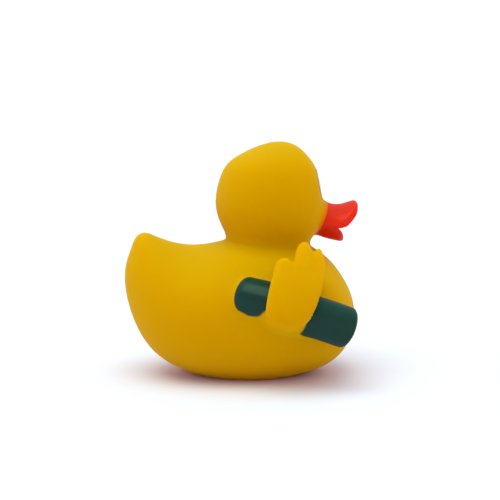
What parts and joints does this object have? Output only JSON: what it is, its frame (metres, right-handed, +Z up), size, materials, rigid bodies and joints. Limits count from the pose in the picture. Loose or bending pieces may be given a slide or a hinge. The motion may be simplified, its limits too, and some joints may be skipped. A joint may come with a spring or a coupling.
{
  "type": "rubber duck",
  "caption": "Hollow soft-vinyl bath duck with an open beak, holding a roll under its right wing, with a squeaker in its base.",
  "frame": {"origin": "on the surface the duck stands on, under the middle of its whole box", "axes": "+X towards the beak, +Y to the duck's left, +Z up. The duck's plane of symmetry is parallel to XZ and stands at y = +4.1 mm, because the roll widens the right side"},
  "size_m": [0.084, 0.0786, 0.084],
  "materials": {
    "vinyl": "matt soft vinyl in warm yellow, with an orange-red beak, black and white eyes and a dark green roll sprayed on",
    "white_plastic": "moulded, satin",
    "reed_steel": "thin spring strip"
  },
  "bodies": {
    "root": {"duck_shell": "vinyl", "squeaker_housing": "white_plastic", "squeaker_reed": "reed_steel"}
  },
  "joints": []
}
